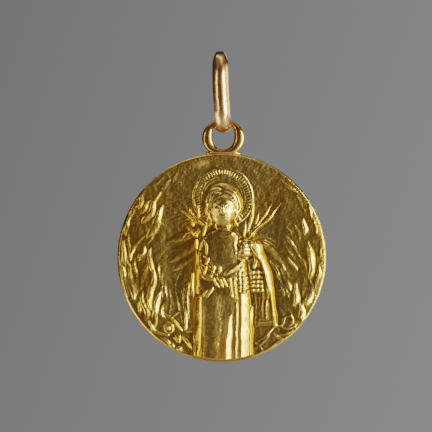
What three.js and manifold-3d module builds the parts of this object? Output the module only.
// Religious medal pendant: a struck gold medal with a soldered eye, hanging in an oval bail.
// Millimetres, +Z up, the struck face looks toward -Y, the origin is inside the top of the bail.
import * as THREE from 'three';
import { mergeVertices } from 'three/addons/utils/BufferGeometryUtils.js';
import Module from 'manifold-3d';

// driving sizes
const medalRadius = 9;
const blankThickness = 0.9;
const reliefHeight = 0.8;
const edgeRound = 0.16;
const bailHeight = 7.02;
const bailDepth = 4.1;
const bailWidth = 1.4;
const bailThickness = 0.54;
const bailDrift = 0.26;
const bailTopWidth = 1.0;
const looseFit = 0.18;
const eyeTopWire = 0.43;
const eyeDepth = 0.84;
const eyeHole = { across: 0.94, up: 1.09 };
const eyeOuter = { across: 1.85, up: 1.59 };
const eyeStand = 1.33;
const eyeShift = 0.13;
const solderHeight = 0.42;

// shares that shape the bail, the eye and the solder
const bailStraightness = 0.7;
const bailRidgePower = 1.9;
const bailInsidePower = 0.5;
const bailShoulder = 0.14;
const eyeTopSquareness = 0.6;
const solderSpread = { across: 0.9, depth: 0.46 };

// places that follow from the sizes
const eyeRise = medalRadius + eyeStand;
const bailInsideDrop = bailHeight - 2 * bailThickness;
const bailInside = 0.38 * bailThickness;
const bailOutside = bailThickness - bailInside;
const eyeTop = -bailInsideDrop + looseFit + eyeTopWire;
const medalCentre = { x: bailDrift - eyeShift + 0.02, z: eyeTop - eyeRise - eyeOuter.up };
const backPlane = blankThickness / 2 + 0.08;
const fieldPlane = backPlane - blankThickness;

// how finely the faces are cut
const meshRings = 40;
const bailStations = 36;
const bailSectionPoints = 12;
const eyeStations = 28;
const eyeSectionPoints = 12;
const pathSteps = 7;
const leastHalfWidth = 2.3;
const finestDetail = 0.004;

// finishes
const goldFinish = (red, green, blue, roughness) => {
  const color = new THREE.Color(red, green, blue);
  return new THREE.MeshStandardMaterial({ color, roughness, metalness: 1 });
};
const medalGold = goldFinish(0.8, 0.6, 0.22, 0.3);
const bailGold = goldFinish(0.83, 0.58, 0.3, 0.18);

const table = (columns, rows) => {
  return rows.map((row) => Object.fromEntries(columns.map((name, k) => [name, row[k]])));
};

// Places and widths on the face are hundredths of the medal's radius from its centre, right and up.
// Lifts are hundredths of the relief's full height.

const flames = table(['fromU', 'fromV', 'tipU', 'tipV', 'bow', 'curl', 'halfWidth', 'lift'], [
  [-93, 20, -80, 54, -2.0, 0.0, 2.5, 30],
  [-88, -4, -90, 25, 0.0, 1.0, 2.4, 20],
  [-81, 46, -72, 66, -0.5, 1.0, 2.6, 25],
  [-78, 33, -58, 64, 2.0, 0.8, 3.9, 38],
  [-73, 18, -56, 51, 2.0, 1.0, 4.6, 43],
  [-87, 2, -73, 22, -2.6, 0.0, 2.4, 25],
  [-48, 71, -42, 88, 0.5, -1.0, 2.3, 22],
  [-60, 65, -48, 77, 0.5, 1.0, 2.6, 18],
  [-80, -4, -74, 12, 0.8, -1.0, 2.5, 28],
  [-66, -15, -67, 10, -2.2, 0.5, 2.9, 33],
  [-68, -52, -66, -7, -0.3, -1.6, 3.4, 43],
  [-77, -24, -72, 0, 0.8, -0.8, 3.0, 23],
  [-84, -40, -88, -12, 0.0, 1.0, 3.8, 30],
  [-89, -38, -95, -15, -0.5, 0.0, 2.9, 25],
  [-74, -64, -77, -30, 1.4, 1.6, 3.0, 30],
  [-68, -72, -57, -28, -0.6, 0.6, 4.0, 40],
  [-53, -58, -54, -40, -3.5, 0.0, 2.5, 25],
  [83, -22, 83, 24, 3.0, 0.0, 3.8, 43],
  [79, 12, 77, 40, 2.0, 0.5, 3.0, 33],
  [88, -30, 94, -5, 0.5, -1.0, 2.5, 23],
  [80, -46, 84, -19, 2.5, 0.0, 3.6, 35],
  [80, -66, 74, -42, -0.5, -1.0, 4.2, 38],
  [68, -47, 70, -22, 2.5, 0.5, 3.5, 43],
  [73, 3, 64, 19, 0.5, 0.3, 2.3, 20],
  [72, -12, 62, 2, 0.5, 0.3, 2.3, 23],
  [66, -32, 58, -17, 0.5, 0.3, 2.3, 20],
  [79, -10, 72, 7, 0.8, 0.4, 2.4, 18],
  [77, -36, 78, -17, 0.5, 0.3, 2.3, 18],
  [80, 44, 67, 61, 0.8, -1.0, 2.4, 13],
  [86, 36, 82, 56, 0.5, 0.5, 2.4, 15],
  [90, 20, 86, 42, 0.5, 0.5, 2.4, 18],
]);

const fronds = table(['fromU', 'fromV', 'bendU', 'bendV', 'tipU', 'tipV', 'halfWidth', 'lift'], [
  [-25, 34, -34, 41, -43, 49, 2.0, 16],
  [-22, 35, -29, 42, -34, 50, 2.0, 16],
  [-25, 21, -31, 27, -37, 32, 2.0, 18],
  [25, 20, 42, 36, 57, 55, 2.2, 18],
  [29, 27, 41, 40, 49, 54, 2.0, 16],
  [26, 22, 42, 33, 50, 46, 2.2, 18],
  [27, 25, 33, 35, 35, 47, 2.0, 16],
  [21, 20, 23, 29, 22, 37, 2.0, 14],
]);

// broad forms, each a run of rows from the top down
const formColumns = ['v', 'left', 'right', 'share'];
const leftPanel = table(formColumns, [
  [12, -25, -20, 20],
  [0, -33, -20, 60],
  [-13, -40, -20, 75],
  [-25, -45, -25, 80],
  [-45, -44, -26, 70],
  [-71, -34, -26, 60],
]);
const rightPanel = table(formColumns, [
  [14, 22, 36, 50],
  [0, 24, 41, 90],
  [-20, 26, 45, 90],
  [-40, 25, 48, 80],
  [-63, 25, 51, 70],
]);
const body = table(formColumns, [
  [27, -6, 7, 55],
  [23, -13, 14, 75],
  [17, -20, 19, 90],
  [5, -24, 21, 100],
  [-12, -25, 23, 100],
  [-30, -26, 26, 98],
  [-60, -27, 28, 100],
  [-102, -28, 29, 100],
]);
const mantle = table(formColumns, [
  [17, 24, 34, 80],
  [12, 24, 38, 100],
  [5, 29, 40, 105],
  [-5, 36, 43, 105],
  [-14, 38, 46, 100],
  [-22, 40, 48, 95],
  [-30, 43, 49, 85],
  [-42, 46, 50, 78],
  [-64, 48, 52, 70],
]);

const robeFolds = table(['topU', 'topV', 'footU', 'footV', 'halfWidth', 'lift'], [
  [-24, -42, -24, -74, 2.7, 19],
  [-26, -74, -26, -96, 2.3, 12],
  [19.5, -33, 19.5, -98, 4.2, 30],
  [26, -36, 26, -98, 2.4, 20],
  [8.6, -46, 5.6, -99, 2.6, 18],
  [-8, -40, -9, -99, 7.5, 9],
  [33, -34, 33, -64, 2.4, 8],
  [-28.5, -14, -28, -38, 2.3, 12],
  [-34.5, -50, -34, -69, 2.3, 15],
  [-24.5, 18, -25, -11, 2.3, 12],
  [-15, 17, -14, 3, 2.3, 10],
  [8.5, -20, 10, -37, 2.3, 14],
  [13, -21, 14, -39, 2.3, 14],
  [20, -4, 2, -16, 3.0, 12],
]);

const fingers = table(['v', 'from', 'to'], [
  [17, 18.5, 28],
  [12.5, 16.5, 27],
  [8, 16, 26],
  [3.5, 16.5, 26],
]);
const fingerHalfWidth = 2.1;
const fingerLift = 12;

const curls = table(['u', 'v', 'size', 'lift'], [
  [-15, 0, 2.6, 9],
  [-17, -8, 2.8, 10],
  [-11, -8, 2.6, 9],
  [-14, -15, 2.8, 10],
  [-8, -14, 2.6, 9],
  [-4, -8, 2.4, 8],
]);
const curlDomes = curls.map((curl) => {
  return { u: curl.u, v: curl.v, across: curl.size, up: curl.size, lift: curl.lift, power: 1 };
});

const haloCentre = { u: 0.5, v: 57.5 };
const haloRings = table(['radius', 'halfWidth', 'lift'], [
  [28.3, 1.5, 15],
  [20.6, 1.4, 11],
]);
const haloPlate = { radius: 30, lift: 5 };

const logs = table(['fromU', 'fromV', 'toU', 'toV', 'halfWidth', 'lift'], [
  [-54, -54, -38, -69, 2.3, 14],
  [-69, -63, -51, -74, 2.3, 14],
  [-38, -75, -28, -88, 2.3, 15],
  [-58, -77, -49, -86, 2.3, 12],
  [46, -69, 31, -87, 2.3, 13],
  [50, -72, 62, -77, 2.3, 10],
]);
const logEnd = { u: -51, v: -67, across: 5.0, up: 5.8, lift: 25, power: 0.5 };

const domes = {
  hair: { u: 0.5, v: 51.5, across: 16.8, up: 18.8, lift: 75, power: 0.4 },
  neck: { u: 0.5, v: 32, across: 7.5, up: 10, lift: 58, power: 0.35 },
  face: { u: 0.8, v: 47.5, across: 10.8, up: 15, lift: 92, power: 0.35 },
  hand: { u: 22.5, v: 7.5, across: 7.5, up: 11.5, lift: 70, power: 0.35 },
};
const nose = { u: 0.8, top: 53, tip: 44.2, halfWidth: 2.0, lift: 8 };
const formLifts = { leftPanel: 33, rightPanel: 34, body: 50, mantle: 63 };

// shape helpers on the face, all in hundredths
const smoothStep = (low, high, x) => {
  const t = Math.min(Math.max((x - low) / (high - low), 0), 1);
  return t * t * (3 - 2 * t);
};

const splinePath = (points) => {
  const last = points.length - 1;
  const before = points[0].clone().multiplyScalar(2).sub(points[1]);
  const after = points[last].clone().multiplyScalar(2).sub(points[last - 1]);
  const all = [before, ...points, after].map((p) => new THREE.Vector3(p.x, p.y, 0));
  const path = [];
  for (let k = 1; k <= last; k += 1) {
    const curve = new THREE.CatmullRomCurve3(all.slice(k - 1, k + 3), false, 'catmullrom', 0.5);
    for (let s = 0; s < pathSteps; s += 1) {
      path.push(curve.getPoint((1 + s / pathSteps) / 3));
    }
  }
  path.push(all[last + 1]);
  return path;
};

const tapers = {
  leaf: (t) => {
    const belly = 0.35;
    const lower = Math.sin((Math.PI / 2) * Math.min(t / belly, 1));
    const upper = Math.cos((Math.PI / 2) * Math.max((t - belly) / (1 - belly), 0));
    return Math.pow(Math.max(Math.min(lower, upper), 0), 0.8);
  },
  spike: (t) => Math.pow(Math.max(1 - t, 0), 0.7),
  bar: () => 1,
  soft: (t) => 0.6 * Math.sqrt(Math.max(Math.sin(Math.PI * t), 0)) + 0.4,
};

const stroke = (points, halfWidth, lift, taper) => {
  return { path: splinePath(points), halfWidth: Math.max(halfWidth, leastHalfWidth), lift, taper };
};

const strokeLift = (mark, u, v) => {
  let nearest = Infinity;
  let share = 0;
  const spans = mark.path.length - 1;
  for (let k = 0; k < spans; k += 1) {
    const a = mark.path[k];
    const b = mark.path[k + 1];
    const du = b.x - a.x;
    const dv = b.y - a.y;
    const along = ((u - a.x) * du + (v - a.y) * dv) / Math.max(du * du + dv * dv, 1e-9);
    const t = Math.min(Math.max(along, 0), 1);
    const distance = Math.hypot(u - a.x - t * du, v - a.y - t * dv);
    if (distance < nearest) {
      nearest = distance;
      share = (k + t) / spans;
    }
  }
  const narrowing = Math.max(tapers[mark.taper](share), 1e-3);
  const across = nearest / (mark.halfWidth * narrowing);
  return across < 1 ? mark.lift * (1 - across * across) * Math.sqrt(narrowing) : 0;
};

const highest = (marks, u, v) => marks.reduce((most, mark) => Math.max(most, strokeLift(mark, u, v)), 0);

const domeLift = (dome, u, v) => {
  const reach = ((u - dome.u) / dome.across) ** 2 + ((v - dome.v) / dome.up) ** 2;
  return reach < 1 ? dome.lift * Math.pow(1 - reach, dome.power) : 0;
};

const formLift = (rows, full, squareness, u, v) => {
  const lowest = rows.length - 1;
  if (v > rows[0].v || v < rows[lowest].v) {
    return 0;
  }
  const k = Math.min(rows.findIndex((row, n) => n < lowest && rows[n + 1].v <= v), lowest - 1);
  const t = (rows[k].v - v) / (rows[k].v - rows[k + 1].v);
  const mix = (name) => rows[k][name] * (1 - t) + rows[k + 1][name] * t;
  const half = (mix('right') - mix('left')) / 2;
  const s = Math.abs(u - (mix('left') + mix('right')) / 2) / half;
  return s < 1 ? full * (mix('share') / 100) * Math.sqrt(1 - Math.pow(s, squareness)) : 0;
};

const at = (u, v) => new THREE.Vector2(u, v);

const flameStroke = (row) => {
  const root = at(row.fromU, row.fromV);
  const rise = at(row.tipU, row.tipV).sub(root);
  const right = at(rise.y, -rise.x).normalize();
  const low = root.clone().addScaledVector(rise, 0.33).addScaledVector(right, row.bow + row.curl);
  const high = root.clone().addScaledVector(rise, 0.67).addScaledVector(right, row.bow - row.curl);
  return stroke([root, low, high, at(row.tipU, row.tipV)], row.halfWidth, row.lift, 'leaf');
};

const flameStrokes = flames.map(flameStroke);
const frondStrokes = fronds.map((row) => {
  const points = [at(row.fromU, row.fromV), at(row.bendU, row.bendV), at(row.tipU, row.tipV)];
  return stroke(points, row.halfWidth, row.lift, 'spike');
});
const foldStrokes = robeFolds.map((row) => {
  return stroke([at(row.topU, row.topV), at(row.footU, row.footV)], row.halfWidth, row.lift, 'soft');
});
const fingerStrokes = fingers.map((row) => {
  return stroke([at(row.from, row.v - 0.5), at(row.to, row.v)], fingerHalfWidth, fingerLift, 'bar');
});
const logStrokes = logs.map((row) => {
  return stroke([at(row.fromU, row.fromV), at(row.toU, row.toV)], row.halfWidth, row.lift, 'soft');
});
const noseStroke = stroke([at(nose.u, nose.tip), at(nose.u, nose.top)], nose.halfWidth, nose.lift, 'spike');

// the relief's lift at a place on the face, in hundredths of its full height
const reliefShare = (u, v) => {
  let lift = highest(flameStrokes, u, v) + highest(logStrokes, u, v);
  const fromHalo = Math.hypot(u - haloCentre.u, v - haloCentre.v);
  if (fromHalo < haloPlate.radius) {
    lift = haloPlate.lift;
  }
  for (const ring of haloRings) {
    lift += ring.lift * Math.exp(-(((fromHalo - ring.radius) / ring.halfWidth) ** 2));
  }
  lift += highest(frondStrokes, u, v);
  lift = Math.max(lift, formLift(leftPanel, formLifts.leftPanel, 3, u, v));
  lift = Math.max(lift, formLift(rightPanel, formLifts.rightPanel, 3, u, v));
  lift = Math.max(lift, formLift(body, formLifts.body, 4, u, v));
  lift += highest(foldStrokes, u, v);
  for (const curl of curlDomes) {
    lift += domeLift(curl, u, v);
  }
  lift = Math.max(lift, formLift(mantle, formLifts.mantle, 2.2, u, v));
  lift = Math.max(lift, domeLift(logEnd, u, v));
  lift = Math.max(lift, domeLift(domes.hand, u, v)) + highest(fingerStrokes, u, v);
  lift = Math.max(lift, domeLift(domes.neck, u, v), domeLift(domes.hair, u, v));
  lift = Math.max(lift, domeLift(domes.face, u, v)) + strokeLift(noseStroke, u, v);
  return Math.min(lift, 100);
};

// solids from rings of points
const manifoldTool = await Module();
manifoldTool.setup();

const solidFrom = (points, triangles) => {
  const vertProperties = new Float32Array(points.length * 3);
  points.forEach((point, k) => vertProperties.set([point.x, point.y, point.z], 3 * k));
  const mesh = new manifoldTool.Mesh({ numProp: 3, vertProperties, triVerts: new Uint32Array(triangles) });
  return new manifoldTool.Manifold(mesh);
};

const meshFrom = (solid, name, material) => {
  const data = solid.getMesh();
  const positions = new Float32Array(data.numVert * 3);
  for (let k = 0; k < data.numVert; k += 1) {
    positions.set(data.vertProperties.subarray(k * data.numProp, k * data.numProp + 3), 3 * k);
  }
  const geometry = new THREE.BufferGeometry();
  geometry.setAttribute('position', new THREE.BufferAttribute(positions, 3));
  geometry.setIndex(new THREE.BufferAttribute(new Uint32Array(data.triVerts), 1));
  const mesh = new THREE.Mesh(mergeVertices(geometry, 1e-4), material);
  mesh.name = name;
  return mesh;
};

// a closed loop of equal sections, joined round both ways
const loopSolid = (sections) => {
  const points = sections.flat();
  const around = sections[0].length;
  const triangles = [];
  for (let s = 0; s < sections.length; s += 1) {
    const next = (s + 1) % sections.length;
    for (let k = 0; k < around; k += 1) {
      const step = (k + 1) % around;
      const a = s * around + k;
      const b = s * around + step;
      const c = next * around + step;
      const d = next * around + k;
      triangles.push(a, b, c, a, c, d);
    }
  }
  return solidFrom(points, triangles);
};

// the struck blank: rings of six more points each, then the rounded edge, then the flat back
const struckBlank = () => {
  const points = [new THREE.Vector3(0, fieldPlane - reliefHeight * reliefShare(0, 0) / 100, 0)];
  const ringStart = [0];
  const triangles = [];
  const faceRadius = medalRadius - edgeRound;
  const addRing = (count, radius, depthAt) => {
    ringStart.push(points.length);
    for (let k = 0; k < count; k += 1) {
      const turn = (2 * Math.PI * k) / count;
      const x = radius * Math.cos(turn);
      const z = radius * Math.sin(turn);
      points.push(new THREE.Vector3(x, depthAt(x, z, radius), z));
    }
  };
  const faceDepth = (x, z, radius) => {
    const share = 100 / medalRadius;
    const fade = 1 - smoothStep(0.955, 0.985, radius / medalRadius);
    return fieldPlane - (reliefHeight * fade * reliefShare(x * share, z * share)) / 100;
  };
  for (let ring = 1; ring <= meshRings; ring += 1) {
    addRing(6 * ring, (faceRadius * ring) / meshRings, faceDepth);
  }
  const rimCount = 6 * meshRings;
  addRing(rimCount, medalRadius, () => fieldPlane + edgeRound);
  addRing(rimCount, medalRadius, () => backPlane - edgeRound);
  addRing(rimCount, faceRadius, () => backPlane);
  points.push(new THREE.Vector3(0, backPlane, 0));

  for (let ring = 1; ring <= meshRings; ring += 1) {
    const inner = ringStart[ring - 1];
    const outer = ringStart[ring];
    for (let sector = 0; sector < 6; sector += 1) {
      for (let k = 0; k < ring; k += 1) {
        const outA = outer + ((sector * ring + k) % (6 * ring));
        const outB = outer + ((sector * ring + k + 1) % (6 * ring));
        const innerCount = Math.max(6 * (ring - 1), 1);
        const inA = inner + ((sector * (ring - 1) + k) % innerCount);
        triangles.push(inA, outA, outB);
        if (k < ring - 1) {
          const inB = inner + ((sector * (ring - 1) + k + 1) % innerCount);
          triangles.push(inA, outB, inB);
        }
      }
    }
  }
  for (let ring = meshRings; ring < meshRings + 3; ring += 1) {
    for (let k = 0; k < rimCount; k += 1) {
      const a = ringStart[ring] + k;
      const b = ringStart[ring] + ((k + 1) % rimCount);
      const c = ringStart[ring + 1] + ((k + 1) % rimCount);
      const d = ringStart[ring + 1] + k;
      triangles.push(a, d, c, a, c, b);
    }
  }
  const backRing = ringStart[meshRings + 3];
  for (let k = 0; k < rimCount; k += 1) {
    triangles.push(backRing + k, points.length - 1, backRing + ((k + 1) % rimCount));
  }
  return solidFrom(points, triangles);
};

// the eye: thick at the sides, worn thin and round where it hangs in the bail
const eyeRing = () => {
  const sections = [];
  for (let s = 0; s < eyeStations; s += 1) {
    const turn = (2 * Math.PI * s) / eyeStations;
    const across = Math.sin(turn);
    const up = Math.cos(turn);
    const power = up > 0 ? eyeTopSquareness : 1;
    const squareTurn = (part) => Math.sign(part) * Math.pow(Math.abs(part), power);
    const inside = new THREE.Vector2(eyeHole.across * squareTurn(across), eyeHole.up * squareTurn(up));
    const outside = new THREE.Vector2(eyeOuter.across * across, eyeOuter.up * up);
    const lowest = -eyeOuter.up + eyeTopWire / 2;
    inside.y += eyeOuter.up - eyeTopWire - eyeHole.up;
    outside.y = Math.max(outside.y, lowest);
    const middle = inside.clone().add(outside).multiplyScalar(0.5);
    const reach = outside.clone().sub(inside).multiplyScalar(0.5);
    const fullness = smoothStep(0.35, 1.5, Math.min(turn, 2 * Math.PI - turn));
    const halfDepth = (eyeTopWire + (eyeDepth - eyeTopWire) * fullness) / 2;
    const section = [];
    for (let k = 0; k < eyeSectionPoints; k += 1) {
      const round = (2 * Math.PI * k) / eyeSectionPoints;
      const x = middle.x + reach.x * Math.cos(round);
      const z = middle.y + reach.y * Math.cos(round);
      section.push(new THREE.Vector3(x + eyeShift, -halfDepth * Math.sin(round), z + eyeRise));
    }
    sections.push(section);
  }
  return loopSolid(sections);
};

// solder that fills the corners between the eye and the medal's edge
const solderFoot = () => {
  const foot = new THREE.SphereGeometry(1, 20, 12);
  foot.scale(eyeOuter.across * solderSpread.across, eyeDepth * solderSpread.depth, solderHeight);
  foot.translate(eyeShift, 0, medalRadius - 0.02);
  foot.deleteAttribute('normal');
  foot.deleteAttribute('uv');
  const merged = mergeVertices(foot, 1e-4);
  const place = merged.getAttribute('position');
  const points = [];
  for (let k = 0; k < place.count; k += 1) {
    points.push(new THREE.Vector3().fromBufferAttribute(place, k));
  }
  return solidFrom(points, Array.from(merged.index.array));
};

// the bail: an upright loop with nearly straight sides, flattish inside and ridged outside,
// narrower at its top and drifting sideways low down
const bailLoop = () => {
  const sections = [];
  const halfHeight = (bailHeight - bailThickness) / 2;
  const halfDepth = (bailDepth - bailThickness) / 2;
  const middle = bailThickness / 2 - halfHeight;
  const bends = [];
  for (let k = 0; k < 4 * bailStations; k += 1) {
    const turn = (Math.PI * k) / (2 * bailStations);
    const side = Math.sin(turn);
    const y = halfDepth * Math.sign(side) * Math.pow(Math.abs(side), bailStraightness);
    bends.push(new THREE.Vector3(0, y, halfHeight * Math.cos(turn)));
  }
  const line = new THREE.CatmullRomCurve3(bends, true);
  for (let s = 0; s < bailStations; s += 1) {
    const share = (s + 0.5) / bailStations;
    const centre = line.getPointAt(share);
    const tangent = line.getTangentAt(share);
    const outward = new THREE.Vector3(0, -tangent.z, tangent.y);
    if (outward.dot(centre) < 0) {
      outward.negate();
    }
    const drop = (halfHeight - centre.z) / (2 * halfHeight);
    const drift = bailDrift * smoothStep(0.3, 1.1, drop);
    const width = bailTopWidth + (bailWidth - bailTopWidth) * smoothStep(-0.04, bailShoulder, drop);
    const section = [];
    for (let k = 0; k < bailSectionPoints; k += 1) {
      const round = (2 * Math.PI * k) / bailSectionPoints;
      const ridge = bailOutside * (1 - Math.pow(Math.abs(Math.cos(round)), bailRidgePower));
      const hollow = -bailInside * Math.pow(Math.max(-Math.sin(round), 0), bailInsidePower);
      const lift = Math.sin(round) > 0 ? ridge : hollow;
      const place = centre.clone().addScaledVector(outward, lift + bailInside - bailThickness / 2);
      section.push(new THREE.Vector3(drift - (width / 2) * Math.cos(round), place.y, middle + place.z));
    }
    sections.push(section);
  }
  return loopSolid(sections);
};

const medalSolid = struckBlank()
  .add(eyeRing())
  .add(solderFoot())
  .simplify(finestDetail)
  .translate([medalCentre.x, 0, medalCentre.z]);

const pendant = new THREE.Group();
pendant.name = 'religious_medal_pendant';
pendant.add(meshFrom(medalSolid, 'medal', medalGold));
pendant.add(meshFrom(bailLoop(), 'bail', bailGold));

export default pendant;
